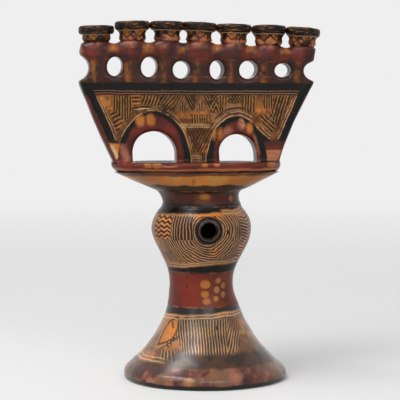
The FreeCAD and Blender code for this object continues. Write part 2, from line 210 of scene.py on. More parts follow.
def bore_vent(mesh):
    """Cuts the round vent through the front of the bulb and eases its edge."""
    outline = ((0, 60.0), (9.9, 60.0), (9.0, 47.4), (7.9, 46.6),
               (VENT_RADIUS, 45.6), (VENT_RADIUS, 30.0), (0, 30.0))

    def toward_front(point):
        """Turns the cutter from upright to face the front, at the vent's place."""
        across, up, reach = point
        return across + VENT_PLACE, -reach, VENT_LEVEL + up

    tool = lathe("vent_cutter", [(r, r, reach) for r, reach in outline], 48, toward_front)
    pair = [add_object(item.name, item) for item in (mesh, tool)]
    cut = pair[0].modifiers.new("vent", "BOOLEAN")
    cut.operation = "DIFFERENCE"
    cut.solver = "EXACT"
    cut.object = pair[1]
    bored = bpy.data.meshes.new_from_object(pair[0].evaluated_get(bpy.context.evaluated_depsgraph_get()))
    for item in pair:
        bpy.data.objects.remove(item)
    return bored


def make_bulb():
    """A hollow cone and dome with a closed floor, bored for the vent."""
    inside = through([(22.0, BULB_FLOOR), (26.5, BULB_FLOOR + 2.0), (38.4, 130.0),
                      (41.0, 142.5), (38.0, 155.0), (NECK_BORE, NECK_SEAM)], 3)
    outside = between(BODY_LINE, BULB_SEAM, NECK_SEAM)
    mesh = lathe("bulb", [(0, 0, BULB_SEAM)] + round_outline(outside, inside) + [(0, 0, BULB_FLOOR)])
    return bore_vent(mesh)


def make_neck():
    """A short collar with a straight bore."""
    inside = [(NECK_BORE, NECK_SEAM), (NECK_BORE, TRAY_SEAM)]
    return lathe("neck_collar", round_outline(between(BODY_LINE, NECK_SEAM, TRAY_SEAM), inside))


def ovals(low, high, bend, steps):
    """The tray's rings from a low oval to a high one, with a bend that keeps them slim below."""
    rings = []
    for step in range(steps + 1):
        share = step / steps
        spread = share ** bend
        rings.append((low[0] + (high[0] - low[0]) * spread, low[1] + (high[1] - low[1]) * spread,
                      TRAY_SEAM + (SHELF_SEAM - TRAY_SEAM) * share))
    return rings


def make_tray():
    """A hollow dish, round below and oval above."""
    outside = ovals((40.0, 40.0), (79.4, 42.4), 0.95, 14)
    inside = ovals((NECK_BORE, NECK_BORE), (70.4, 33.4), 1.0, 8)
    return lathe("tray", outside + inside[::-1])


SHELF_LEVEL = (SHELF_SEAM + WALL_SEAM) / 2
SHELF_HALF = (WALL_SEAM - SHELF_SEAM) / 2


def make_shelf():
    """An oval slab with a rounded rim that leans out."""
    rings = [(0, 0, SHELF_SEAM)]
    for step in range(13):
        angle = math.pi * (step / 12 - 0.5)
        reach = 3.4 * math.cos(angle) + 2.4 * math.sin(angle)
        rings.append((77.2 + reach, 41.0 + reach, SHELF_LEVEL + SHELF_HALF * math.sin(angle)))
    rings.append((0, 0, WALL_SEAM))
    return lathe("shelf", rings, 192)


# Each cup's own rise above the usual rim level, its lean in degrees, its shift along the row and its waist.
CUP_RIM = 9.5
CUP_RISES = (-3.4, -0.2, -0.6, -0.4, -0.4, 0.4, -0.6)
CUP_LEANS = (-1.0, -1.2, 1.0, 2.5, 1.5, 1.0, 4.5)
CUP_SHIFTS = (0.2, 0.6, 0.4, -1.6, -1.4, -0.8, -1.0)
CUP_WAISTS = (13.0, 12.2, 11.8, 11.5, 12.2, 12.8, 12.8)


def cup_seat(number):
    """The middle of a cup's round base, where the hand set it."""
    return hand_shape((PITCH * (number - 4), 0, CUP_SEAT)) + Vector((CUP_SHIFTS[number - 1], 0, 0))


def make_cup(number):
    """A pinched cup on its round base, with its funnel and candle socket."""
    lean = Matrix.Rotation(math.radians(CUP_LEANS[number - 1]), 3, "Y")
    seat = cup_seat(number)
    waist = CUP_WAISTS[number - 1]
    rim = CUP_RIM + CUP_RISES[number - 1]
    base = [(SEAT_BALL * math.sin(a), -SEAT_BALL * math.cos(a)) for a in np.linspace(0.12, 1.065, 8)]
    side = through([(12.65, -7.0), (waist + 0.4, -5.2), (waist, -3.0), (waist + 0.3, -1.2),
                    (waist + 1.3, 0.4), (15.4, rim - 7.4)], 0.8)
    lip = through([(15.4, rim - 7.4), (16.4, rim - 6.0), (16.6, rim - 3.6), (16.3, rim - 1.2),
                   (15.0, rim), (13.4, rim - 0.3), (12.4, rim - 1.6)], 0.6)
    funnel = through([(12.3, rim - 1.6), (9.6, 5.6), (6.8, 3.4), (6.5, 2.0)], 0.8)
    socket = [(6.5, -4.0), (6.5, -9.6), (6.0, -10.06)]
    outline = [(0, -SEAT_BALL), *base[:-1], *side[:-1], *lip[:-1], *funnel[:-1], *socket, (0, -10.06)]

    def pinch(point):
        """Squeezes the cup out of round, more so toward its lip, and leans it in its seat."""
        at = Vector(point)
        share = max(0.0, (at.z + 3) / 12)
        angle = math.atan2(at.y, at.x)
        squeeze = 0.012 * math.sin(2 * angle + number * 1.7) + 0.008 * math.sin(3 * angle + number)
        swell = 1 + share * squeeze
        dent = noise.noise_vector(at * 0.11 + Vector((number * 9, 0, 0))) * 0.35 * share
        return seat + lean @ (Vector((at.x * swell, at.y * swell, at.z)) + dent)

    return lathe(f"candle_cup_{number}", [(r, r, level) for r, level in outline], 72, pinch)


# The upper body as one field of distances, in millimetres: the clay is where it is below 0.
def meet(first, second, soft):
    """The clay that both fields hold, with its edge softened."""
    share = np.clip(0.5 - 0.5 * (second - first) / soft, 0.0, 1.0)
    return second * (1 - share) + first * share + soft * share * (1 - share)


def join(first, second, soft):
    """The clay that either field holds, with its crease filled."""
    return -meet(-first, -second, soft)


def rounded(across, up, edge):
    """A block from the distances outside its two pairs of faces, with its edges rounded."""
    a = across + edge
    b = up + edge
    return np.hypot(np.maximum(a, 0), np.maximum(b, 0)) + np.minimum(np.maximum(a, b), 0) - edge


# Each round gap: its place along the row and its level, then its half width and half height.
GAPS = (
    (-79.2, 294.7, 7.2, 8.3),
    (-46.8, 293.9, 7.7, 8.4),
    (-16.4, 291.7, 7.9, 7.4),
    (16.8, 292.4, 6.8, 8.3),
    (47.6, 293.1, 8.8, 8.5),
    (80.2, 293.0, 7.8, 7.2),
    (-113.0, 293.6, 10.2, 10.6),
    (111.2, 292.6, 10.2, 9.8),
)


# The middles of the crest's mounds lie a little nearer together than those of the cups.
MOUNDS = [place * 32.6 for place in range(-3, 4)]
ARCHES = ((-40.5, 20.6, 8.8), (39.0, 18.0, 8.4))


def upper_body(x, y, z):
    """The field of the wall, the pillars and the crest, formed as one and merged into the shelf."""
    side = (np.abs(x) - WALL_FOOT_HALF) * math.cos(WALL_LEAN) - (z - WALL_SEAM) * math.sin(WALL_LEAN)
    hollow = np.sin(math.pi * np.clip((z - WALL_SEAM) / (PILLAR_SEAM - WALL_SEAM), 0, 1))
    side = side + hollow * np.where(x > 0, 1.6, 0.2)
    reach = 113.8 - 2.8 * smooth_step(287, 299, z)
    front_view = np.maximum.reduce([side, np.abs(x) - reach, z - 315.5, 199.0 - z])
    slab = rounded(front_view, np.abs(y) - 12.5, 6.0)
    for place in MOUNDS:
        mound = rounded(np.hypot(x - place, y) - 13.8, np.abs(z - 309.0) - 8.5, 4.0)
        slab = join(slab, mound, 3.0)
    for place, level, half_width, half_height in GAPS:
        reach = np.hypot((x - place) / half_width, (z - level) / half_height)
        slab = meet(slab, (1 - reach) * min(half_width, half_height), 4.5)
    for place, radius, jamb in ARCHES:
        top = WALL_SEAM + jamb
        arch = np.where(z > top, np.hypot(x - place, z - top), np.abs(x - place)) - radius
        slab = meet(slab, -arch, 5.0)
    shelf = np.hypot(x / 83.0, y / 46.0) * 46.0 - 46.0
    shelf = np.maximum(shelf, np.abs(z - SHELF_LEVEL) - SHELF_HALF)
    slab = join(slab, shelf, 3.0)
    for place in MOUNDS:
        ball = np.sqrt((x - place) ** 2 + y**2 + (z - CUP_SEAT) ** 2)
        slab = np.maximum(slab, SEAT_BALL - 0.15 - ball)
    return slab


def skin_of(field, corner, step):
    """The zero surface of a field as four-sided faces, with one corner in each cell that it crosses."""
    cells = tuple(n - 1 for n in field.shape)

    def shifted(grid, axis, shift):
        """The cells' near side along an axis, or with a shift of 1 their far side."""
        return grid.take(range(shift, shift + cells[axis]), axis)

    count = np.zeros(cells)
    total = np.zeros(cells + (3,))
    crossings = []
    for axis, a, b in ((0, 1, 2), (1, 0, 2), (2, 0, 1)):
        start, end = shifted(field, axis, 0), shifted(field, axis, 1)
        crossed = (start < 0) != (end < 0)
        share = np.where(crossed, start / np.where(crossed, start - end, 1.0), 0.0)
        for shift_a, shift_b in ((0, 0), (0, 1), (1, 0), (1, 1)):
            edge, reach = (shifted(shifted(grid, a, shift_a), b, shift_b) for grid in (crossed, share))
            count += edge
            total[..., axis] += reach
            total[..., a] += edge * shift_a
            total[..., b] += edge * shift_b
        crossings.append((axis, a, b, crossed, start < 0))
    active = count > 0
    index = np.full(cells, -1)
    index[active] = np.arange(active.sum())
    corners = np.argwhere(active) + total[active] / count[active][:, None]
    corners = np.array(corner) + corners * step
    faces = []
    for axis, a, b, crossed, starts_inside in crossings:
        at = np.argwhere(crossed)
        at = at[np.all([(at[:, k] > 0) & (at[:, k] < cells[k]) for k in (a, b)], axis=0)]
        quads = []
        for shift_a, shift_b in ((1, 1), (0, 1), (0, 0), (1, 0)):
            cell = at.copy()
            cell[:, a] -= shift_a
            cell[:, b] -= shift_b
            quads.append(index[tuple(cell.T)])
        quads = np.stack(quads, axis=1)
        turned = starts_inside[tuple(at.T)] == (axis == 1)
        quads[turned] = quads[turned][:, ::-1]
        faces.append(quads)
    return corners, np.concatenate(faces)


def press_upper_body(step=0.9):
    """The upper body's surface, from a grid of so many millimetres round it."""
    low = np.array((-118.0, -19.0, 203.0))
    high = np.array((118.0, 19.0, 321.0))
    lines = [np.arange(low[k], high[k] + step, step) for k in range(3)]
    x, y, z = np.meshgrid(*lines, indexing="ij")
    corners, faces = skin_of(upper_body(x, y, z), low, step)
    bm = bmesh.new()
    verts = [bm.verts.new(corner) for corner in corners]
    for face in faces:
        bm.faces.new([verts[i] for i in face])
    return bm


# The directions a cut can face: along the row, and up.
ACROSS = Vector((1, 0, 0))
UP = Vector((0, 0, 1))


def cut_member(name, body, *cuts):
    """The part of the upper body between its cuts, closed at each: (direction, place, side taken off)."""
    bm = body.copy()
    for direction, place, side in cuts:
        point, normal = direction * place, direction * side
        geometry = bm.verts[:] + bm.edges[:] + bm.faces[:]
        done = bmesh.ops.bisect_plane(bm, geom=geometry, plane_co=point, plane_no=normal, clear_outer=True)
        edges = [item for item in done["geom_cut"] if isinstance(item, bmesh.types.BMEdge)]
        if edges:
            bmesh.ops.holes_fill(bm, edges=edges, sides=0)
    for vert in bm.verts:
        vert.co = hand_shape(vert.co)
    return mesh_from(name, bm)


def tint(red, green, blue):
    """A slip colour given as 0 to 255, made ready for the shader."""
    shares = [value / 255 for value in (red, green, blue)]
    return (*[s / 12.92 if s <= 0.04045 else ((s + 0.055) / 1.055) ** 2.4 for s in shares], 1.0)


BLACK = tint(13, 9, 7)
SOOT = tint(40, 24, 15)
BROWN = tint(92, 52, 24)
OCHRE = tint(172, 104, 44)
ORANGE = tint(204, 122, 48)
DARK_OCHRE = tint(126, 78, 36)
YELLOW_OCHRE = tint(158, 116, 56)
TAN = tint(146, 106, 76)
CREAM = tint(206, 172, 128)
ROSE = tint(186, 122, 96)
RED = tint(112, 40, 28)
RED_BROWN = tint(80, 34, 24)
PLUM = tint(52, 30, 34)
BARE_CLAY = tint(150, 96, 62)

# The depth of a full cut, in metres.
CUT_DEPTH = 0.0005


def sign(operation, reflected=False):
    """What a Tone does at one sign of arithmetic."""
    def act(tone, *others):
        """Adds the Math node of the operation."""
        sides = (*others, tone) if reflected else (tone, *others)
        return tone.bench.node("ShaderNodeMath", {"operation": operation}, dict(enumerate(sides)))
    return act


class Tone:
    """A socket on a bench. Signs on it add Math nodes, with & for the less and | for the more."""

    def __init__(self, bench, socket):
        self.bench = bench
        self.socket = socket

    __add__ = __radd__ = sign("ADD")
    __sub__ = sign("SUBTRACT")
    __rsub__ = sign("SUBTRACT", reflected=True)
    __mul__ = __rmul__ = sign("MULTIPLY")
    __abs__ = sign("ABSOLUTE")
    __and__ = sign("MINIMUM")
    __or__ = sign("MAXIMUM")

    def maths(self, operation, *others, held=False):
        """Any other Math node, with this tone as its first value."""
        settings = {"operation": operation, "use_clamp": held}
        return self.bench.node("ShaderNodeMath", settings, dict(enumerate((self, *others))))

    def step(self, start, end):
        """0 at start and before, 1 at end and beyond."""
        scale = 1 / (end - start)
        return self.maths("MULTIPLY_ADD", scale, -start * scale, held=True)

    def band(self, low, high, soft=0.35):
        """Full between two values, with soft edges."""
        return self.step(low - soft / 2, low + soft / 2) & self.step(high + soft / 2, high - soft / 2)

    def comb(self, pitch, width, soft=0.35):
        """Even lines of a width, one at every whole pitch."""
        return self.maths("PINGPONG", pitch / 2).step((width + soft) / 2, (width - soft) / 2)


class Bench:
    """The nodes of one finish, or of the room."""

    def __init__(self, tree):
        self.tree = tree

    def node(self, kind, settings=None, values=None, output=0):
        """A node of a kind, its settings made first, then its values. Gives an output, or the node itself."""
        made = self.tree.nodes.new(kind)
        for name, setting in (settings or {}).items():
            setattr(made, name, setting)
        for name, value in (values or {}).items():
            if isinstance(value, Tone):
                self.tree.links.new(value.socket, made.inputs[name])
            else:
                made.inputs[name].default_value = value
        return made if output is None else Tone(self, made.outputs[output])

    def vector(self, operation, values, output=0):
        """A Vector Math node."""
        return self.node("ShaderNodeVectorMath", {"operation": operation}, values, output)

    def mix(self, under, over, cover):
        """One slip laid over another where it covers."""
        return self.node("ShaderNodeMix", {"data_type": "RGBA"}, {0: cover, 6: under, 7: over}, 2)

    def seen(self):
        """1 where the background is looked at, straight or in a gloss or a glass."""
        path = self.node("ShaderNodeLightPath", output=None)
        straight, glossy, through_glass = (
            Tone(self, path.outputs[f"Is {ray} Ray"]) for ray in ("Camera", "Glossy", "Transmission"))
        return straight | glossy | through_glass


class Slip(Bench):
    """One finish: its nodes, and the brush's place on the pot in millimetres, wavering as a hand does."""

    def __init__(self, name, waver=0.5):
        self.material = bpy.data.materials.new(name)
        self.material.use_nodes = True
        super().__init__(self.material.node_tree)
        self.shader = self.tree.nodes["Principled BSDF"]
        place = self.node("ShaderNodeTexCoord", output="Object")
        self.place = self.vector("SCALE", {0: place, 3: 1 / MM})
        brush = self.place
        for scale, reach in ((0.06, 5), (0.35, 1.6)):
            sway = self.vector("SUBTRACT", {0: self.grain(scale, 1.0, "Color"), 1: (0.5, 0.5, 0.5)})
            brush = self.vector("MULTIPLY_ADD", {0: sway, 1: (reach * waver,) * 3, 2: brush})
        parts = self.node("ShaderNodeSeparateXYZ", values={0: brush}, output=None)
        self.x, self.y, self.z = (Tone(self, socket) for socket in parts.outputs)
        self.sheets = {}

    def true_place(self):
        """The place along the row and its level, without the waver."""
        parts = self.node("ShaderNodeSeparateXYZ", values={0: self.place}, output=None)
        return Tone(self, parts.outputs["X"]), Tone(self, parts.outputs["Z"])

    def grain(self, scale, detail=2.0, output="Fac", place=None):
        """Noise in the clay, with so many lumps to a millimetre."""
        values = {"Vector": place or self.place, "Scale": scale, "Detail": detail}
        return self.node("ShaderNodeTexNoise", None, values, output)

    def streaks(self, level, up):
        """Noise drawn out level, with so many lumps to a millimetre along it and up it."""
        return self.grain(1.0, place=self.vector("MULTIPLY", {0: self.place, 1: (level, level, up)}))

    def lay(self, under, *coats):
        """Slips laid one after the other, each as (colour, cover)."""
        for colour, cover in coats:
            under = self.mix(under, colour, cover)
        return under

    def sheet(self, across=None, level=None):
        """The surface rolled out flat: across, up and 1, so that a product gives the distance from a line."""
        key = (across or self.x, level or self.z)
        if key not in self.sheets:
            self.sheets[key] = self.node("ShaderNodeCombineXYZ", None, {0: key[0], 1: key[1], 2: 1.0})
        return self.sheets[key]

    def beyond(self, a, b, c, across=None):
        """The distance beyond the line where a across plus b up plus c is nothing."""
        return self.vector("DOT_PRODUCT", {0: self.sheet(across), 1: (a, b, c)}, "Value")

    def along(self, degrees, across=None):
        """The distance across lines that lean so many degrees from upright, to the right."""
        lean = math.radians(degrees)
        return self.beyond(math.cos(lean), -math.sin(lean), 0, across)

    def from_line(self, x1, z1, x2, z2):
        """A line's length, the distance along it and the distance to either side of it."""
        length = math.hypot(x2 - x1, z2 - z1)
        a, b = (x2 - x1) / length, (z2 - z1) / length
        far = self.beyond(a, b, -a * x1 - b * z1)
        return length, far, abs(self.beyond(-b, a, b * x1 - a * z1))

    def field(self, *corners, soft=0.6, across=None):
        """Full within a convex patch, its corners in turn."""
        middle = [sum(corner[k] for corner in corners) / len(corners) for k in (0, 1)]
        depth = None
        for (x1, z1), (x2, z2) in zip(corners, corners[1:] + corners[:1]):
            length = math.hypot(x2 - x1, z2 - z1)
            a, b = (z2 - z1) / length, -(x2 - x1) / length
            if a * (middle[0] - x1) + b * (middle[1] - z1) < 0:
                a, b = -a, -b
            edge = self.beyond(a, b, -a * x1 - b * z1, across)
            depth = edge if depth is None else depth & edge
        return depth.step(-soft / 2, soft / 2)

    def oval(self, x0, z0, half_width, half_height, across=None, level=None):
        """The distance outside an oval, about."""
        scale = (1 / half_width, 1 / half_height, 0)
        middle = (-x0 / half_width, -z0 / half_height, 0)
        scaled = self.vector("MULTIPLY_ADD", {0: self.sheet(across, level), 1: scale, 2: middle})
        small = min(half_width, half_height)
        return self.vector("LENGTH", {0: scaled}, "Value").maths("MULTIPLY_ADD", small, -small)

    def dab(self, x0, z0, half_width, half_height, soft=1.2):
        """A touch of the brush."""
        return self.oval(x0, z0, half_width, half_height).step(soft / 2, -soft / 2)

    def stroke(self, x1, z1, x2, z2, width, soft=0.4):
        """A straight stroke between two places."""
        length, far, off = self.from_line(x1, z1, x2, z2)
        return off.step((width + soft) / 2, (width - soft) / 2) & far.band(0, length, soft)

    def leaf(self, x1, z1, x2, z2, width, soft=0.8):
        """A leaf, pointed at both ends."""
        length, far, off = self.from_line(x1, z1, x2, z2)
        share = far.maths("MULTIPLY_ADD", 2 / length, -1)
        bow = (share * share).maths("MULTIPLY_ADD", -width / 2, width / 2)
        return (bow - off).step(-soft / 2, soft / 2)

    def fire(self, colour, cut=0.0, gloss=0.30, wear=0.5, coat=0.12):
        """Clouds, specks, worn edges, burnish and the depth of the cuts."""
        cloud = self.grain(0.03, 3.0)
        fleck = self.grain(0.55)
        rub = self.grain(0.16, 3.0)
        edge = self.node("ShaderNodeNewGeometry", output="Pointiness").step(0.515, 0.58)
        shade = cloud.maths("MULTIPLY_ADD", -1.5, 1.78) * fleck.maths("MULTIPLY_ADD", 0.5, 0.75)
        colour = self.vector("SCALE", {0: colour, 3: shade})
        colour = self.lay(
            colour,
            (BLACK, fleck.step(0.64, 0.74) * 0.5),
            (BARE_CLAY, edge * rub.step(0.46, 0.58) * wear),
            (BARE_CLAY, rub.step(0.65, 0.76) * 0.3 * wear),
        )
        streak = self.streaks(0.12, 0.7)
        rough = cloud * 0.14 + fleck * 0.12 + streak * 0.14 + cut * 0.2 + (gloss - 0.2)
        height = streak * 0.12 + fleck * 0.10 + rub * 0.16 - cut
        values = {"Strength": 0.8, "Distance": CUT_DEPTH, "Height": height}
        bump = self.node("ShaderNodeBump", None, values, "Normal")
        for name, tone in (("Base Color", colour), ("Roughness", rough), ("Normal", bump)):
            self.tree.links.new(tone.socket, self.shader.inputs[name])
        for name, value in (("Specular IOR Level", 0.13), ("Coat Weight", coat), ("Coat Roughness", 0.26)):
            self.shader.inputs[name].default_value = value
        return self.material


def most(masks):
    """All of several masks together, each laid as soon as it is made."""
    total = None
    for mask in masks:
        total = mask if total is None else total | mask
    return total


def box(left, right, top, foot):
    """The corners of an upright patch."""
    return (left, top), (right, top), (right, foot), (left, foot)


def cut_patch(slip, lean, pitch, width, *corners, across=None):
    """The cuts in a patch, and the painted highlights on the strips between them. With no lean, two sets of
    cuts cross.
    """
    patch = slip.field(*corners, across=across)
    if lean is None:
        falling, rising = (slip.along(degrees).maths("PINGPONG", pitch / 2) for degrees in (38, -38))
        cut = falling.step(0.7, 0.35) | rising.step(0.7, 0.35)
        middle = (pitch / 2 - 0.7, pitch / 2 - 0.2)
        ridge_highlight = falling.step(*middle) & rising.step(*middle)
    else:
        off = slip.along(lean, across).maths("PINGPONG", pitch / 2)
        cut = off.step(width / 2 + 0.15, width / 2 - 0.15)
        ridge_highlight = off.step(pitch / 2 - 0.5, pitch / 2 - 0.2)
    return patch & cut, patch & ridge_highlight


def cut_all(slip, patches, across=None):
    """The cuts of several patches together, and the painted highlights between them."""
    cuts = ridge_highlights = None
    for patch in patches:
        cut, ridge_highlight = cut_patch(slip, *patch, across=across)
        cuts = cut if cuts is None else cuts | cut
        ridge_highlights = ridge_highlight if ridge_highlights is None else ridge_highlights | ridge_highlight
    return cuts, ridge_highlights


def gallery_ground(slip, patch):
    """Brown-red slip, darker low down, with a worn ochre stroke down each pillar."""
    x, z = slip.x, slip.z
    strokes = (x + patch * 8 + 100).comb(32.2, 3.4, 5.0) & z.band(277, 299, 7)
    return slip.lay(
        RED_BROWN,
        (RED, patch.step(0.52, 0.66) * 0.5),
        (PLUM, patch.step(0.54, 0.36) * 0.85),
        (SOOT, z.step(306, 294) * 0.7),
        (OCHRE, strokes * patch.step(0.36, 0.60) * 0.6),
    )


def paint_gallery():
    """The pillars and the crest: a dab in each dip, a painted highlight on each mound, a dark line round each
    gap.
    """
    slip = Slip("gallery_red")
    x, z = slip.x, slip.z
    patch = slip.grain(0.09)
    dabs = (x + 86).comb(32.7, 6.0, 6.0) & z.band(309.5, 317.0, 5)
    # Rose on top of each mound is a painted highlight.
    mound_highlight = z.band(314, 323, 5) & (x + 102).comb(32.7, 7.0, 9.0)
    rims = most(slip.oval(*gap).band(0.6, 1.5) for gap in GAPS)
    colour = slip.lay(
        gallery_ground(slip, patch),
        (OCHRE, dabs * patch.step(0.34, 0.54) * 0.9),
        (ROSE, mound_highlight * patch.step(0.42, 0.58) * 0.6),
        (SOOT, rims * 0.6),
    )
    return slip.fire(colour, gloss=0.32, wear=0.8)


# The panel's patches, each by its corners: bright ochre, and plain ochre.
BRIGHT_PATCHES = (
    ((-101, 269), (-87, 269), (-89, 258), (-96, 258)),
    ((-92, 258), (-86, 258), (-86, 246), (-89, 246)),
    box(-69, -61, 269, 258),
    box(-27, 3, 253.5, 247),
    ((-25, 238), (-19, 238), (-13, 220), (-16, 218)),
    ((-3, 223), (5, 223), (3, 214), (-3, 215)),
    box(49, 58, 259, 250),
    ((-80, 248), (-76, 246), (-82, 234), (-84, 236)),
)
PLAIN_PATCHES = (
    box(19, 34, 261, 253),
    ((6, 252), (17, 252), (14, 242), (6, 243)),
    ((-20, 267), (-12.5, 254), (-27, 254)),
    ((-3, 267), (3, 254), (-10, 254)),
    box(-54, -42, 258.5, 254.5),
)
RED_SPOTS = ((-34, 251, 3.2, 2.2), (-83.5, 235, 2.0, 3.4), (18, 249.5, 4.5, 2.0))
# Pale strokes of the panel, from one end to the other and their width, and the dabs round the arches.
PALE_STROKES = ((-22.5, 236, -15.5, 213, 0.7), (50, 239.5, 63, 227.7, 0.8), (52.6, 241.4, 64.5, 230.4, 0.7))
ARCH_DABS = ((-60.5, 244.6, 4.6, 5.2), (-51, 245.4, 4.6, 5.2), (9, 233, 2.6, 5.5), (15.5, 232, 2.6, 5),
             (43, 237.5, 3, 4.8))
# The panel's cuts: their lean in degrees from upright, pitch and width, then the corners of the patch.
WALL_CUTS = (
    (0, 2.5, 1.2, (-87, 268.5), (-68, 268.5), (-68, 250), (-76, 244), (-86, 256)),
    (62, 3.8, 1.5, (-90, 256), (-76, 246), (-83, 231)),
    (90, 3.6, 1.4, *box(-69, -61, 269, 259)),
    (20, 2.9, 1.2, *box(-59, -42, 268.5, 259.5)),
    (38, 2.8, 1.2, (-42, 268.5), (-30, 268.5), (-30, 246), (-42, 254)),
    (26, 2.3, 1.1, (-30, 268.5), (-20, 268.5), (-27.5, 253.5), (-30, 253.5)),
    (0, 2.3, 0.9, (-20, 264), (-14.5, 254), (-25.5, 254)),
    (-27, 2.4, 1.2, (-19, 268.5), (-12, 268.5), (-9, 256), (-12, 254)),
    (0, 2.3, 0.9, (-3, 264), (1.5, 254), (-8.5, 254)),
    (-26, 2.5, 1.2, (-2, 268.5), (5, 268.5), (8, 254), (4, 254)),
    (None, 2.4, 0.9, *box(4, 13, 268.5, 260)),
    (24, 2.5, 1.1, (5, 260), (11, 264), (11, 252.5), (5, 252.5)),
    (-24, 2.5, 1.1, (11, 264), (18, 260), (18, 252.5), (11, 252.5)),
    (None, 2.4, 0.9, *box(22, 35, 268.5, 261.5)),
    (0, 2.5, 1.1, (13, 268.5), (22, 268.5), (19, 253), (13, 256)),
    (0, 2.8, 1.1, *box(36, 49, 268.5, 253)),
    (0, 2.3, 1.1, *box(-12, 4, 251, 243)),
    (17, 2.9, 1.3, (66, 268.5), (84, 268.5), (71, 240), (64, 246)),
    (0, 2.3, 1.1, *box(57, 66, 268.5, 256)),
    (-47, 3.0, 1.3, (52, 250), (62, 250), (68, 238), (62, 230)),
    (None, 2.8, 0.9, (62, 254), (70, 252), (66, 240), (61, 246)),
    (0, 2.2, 1.1, *box(-4, 5, 214, 207)),
)


def cut_panel(slip, from_side, left_ring, right_ring):
    """The ochre panel with its hatched triangles, and the mask of all its cuts."""
    x, z = slip.x, slip.z
    ring = left_ring & right_ring
    fine = slip.grain(0.22)
    colour = slip.lay(
        BROWN,
        (DARK_OCHRE, slip.grain(0.09, 3.0).step(0.40, 0.58)),
        (SOOT, fine.step(0.50, 0.62) * 0.5),
    )
    bright = most(slip.field(*corners, soft=1.6) for corners in BRIGHT_PATCHES)
    colour = slip.lay(colour, (OCHRE, bright * fine.step(0.32, 0.60)))
    plain = most(slip.field(*corners, soft=1.6) for corners in PLAIN_PATCHES)
    colour = slip.lay(
        colour,
        (TAN, plain * 0.45),
        (RED, most(slip.dab(*spot) for spot in RED_SPOTS) * 0.85),
        (PLUM, slip.field((-14, 269.5), (-8, 269.5), (-9.5, 254.5), (-11.5, 254.5)) * 0.85),
        (BROWN, (z.band(243.2, 246.2) & x.band(-28, -11)) * 0.8),
    )
    hatching, ridge_highlights = cut_all(slip, WALL_CUTS)
    nested = abs(x + 6.5).maths("MULTIPLY_ADD", 0.9, z * -0.43).comb(2.5, 1.0)
    hatching |= nested & slip.field((-19, 237.5), (6, 237.5), (1, 215), (-12, 215))
    hatching |= z.band(256.8, 258.0) & x.band(-67, -50)
    sweeps = ring.comb(2.6, 1.0) & ring.band(1.0, 6.5) & (x.band(-44, -28) | x.band(10, 44))
    hatching |= sweeps
    colour = slip.lay(
        colour,
        (BLACK, hatching * fine.step(0.14, 0.36) * 0.92),
        # Ochre between the cuts is a painted highlight.
        (YELLOW_OCHRE, ridge_highlights * fine.step(0.70, 0.46) * 0.75),
    )
    pale = (z - 238.6).comb(1.55, 0.75) & z.band(237.6, 242.3) & x.band(-27.5, 5)
    pale |= (z - 209.2).comb(1.5, 0.7) & z.band(208.4, 213) & x.band(-13.5, -3.5)
    pale |= ring.band(0.1, 0.8) & x.step(46.5, 45.5) & from_side.step(9, 11)
    pale |= right_ring.band(2.6, 3.2) & z.band(237, 254) & x.step(46, 45)
    pale |= left_ring.band(2.4, 3.0) & x.band(-41, -12)
    pale |= from_side.band(10.2, 10.9) & z.band(227, 268)
    pale |= from_side.band(12.6, 13.2) & z.band(232, 267)
    pale |= z.band(255.2, 256.4) & x.band(-67, -52)
    pale |= most(slip.stroke(*stroke) for stroke in PALE_STROKES)
    colour = slip.lay(
        colour,
        (CREAM, pale * fine.step(0.70, 0.50) * 0.62),
        (BLACK, slip.field((46.5, 241), (63.5, 226), (66, 222), (44, 222))),
    )
    return colour, hatching | pale


def ring_arches(slip, ring):
    """The bands round the two arches: black outside, red within, with brushed dabs, painted shade within the
    openings and a painted reflection in rose beside them.
    """
    x, z = slip.x, slip.z
    brushed = slip.grain(0.12)
    crown = (ring + z.maths("MULTIPLY_ADD", -0.08, 22.9)).step(-0.9, 0.9)
    # The rose strokes beside the arches are a painted reflection.
    blush = slip.stroke(-79, 226, -72, 207, 7, 4) | slip.stroke(50, 232, 54, 207, 5, 3)
    colour = slip.lay(
        RED_BROWN,
        (RED, brushed.step(0.40, 0.62) * 0.8),
        (ROSE, blush * brushed.step(0.35, 0.6) * 0.6),
        (ROSE, slip.dab(22, 233, 5, 6, 4) * 0.4),
        # Darker brown near the middle of each ring is painted shade on the arches' inner faces and the edges
        # of the openings.
        (SOOT, (ring + 15.0).step(1.5, -3.0) * 0.7),
        (BLACK, crown & (z.step(221.5, 224.5) | x.step(-62, -58))),
    )
    patchy = brushed.step(0.26, 0.46)
    dabs = most(slip.dab(*dab, 3.0) for dab in ARCH_DABS)
    return slip.lay(
        colour,
        (OCHRE, dabs * patchy * 0.95),
        (ROSE, slip.dab(35.0, 241.0, 3.4, 5.0, 2.5) * patchy * 0.85),
        (RED_BROWN, slip.dab(-55.8, 244.6, 1.2, 3.4, 2.0) * 0.7),
    )


def brush_corners(slip):
    """The two low corners of the wall, brushed in pale and red slip."""
    colour = slip.lay(
        RED_BROWN,
        (ORANGE, slip.field((-91, 224), (-78, 223.5), (-80, 216), (-88, 214), soft=2) * 0.85),
        (CREAM, slip.stroke(-88, 221.5, -82.5, 209.5, 4.6, 2.4) * 0.8),
        (CREAM, slip.stroke(54.5, 222, 57.5, 209, 2.4, 1.4) * 0.8),
        (ROSE, slip.field((58, 217), (74, 217), (72, 207), (58, 207), soft=2) * 0.9),
    )
    lines = slip.stroke(59, 214, 72, 213, 1.8, 1.2) | slip.stroke(59, 209.5, 70, 209, 1.6, 1.2)
    return slip.lay(
        colour,
        (OCHRE, lines * 0.9),
        (RED, slip.field((60, 221), (74, 221), (73, 217.5), (60, 217.5), soft=1.5) * 0.8),
    )


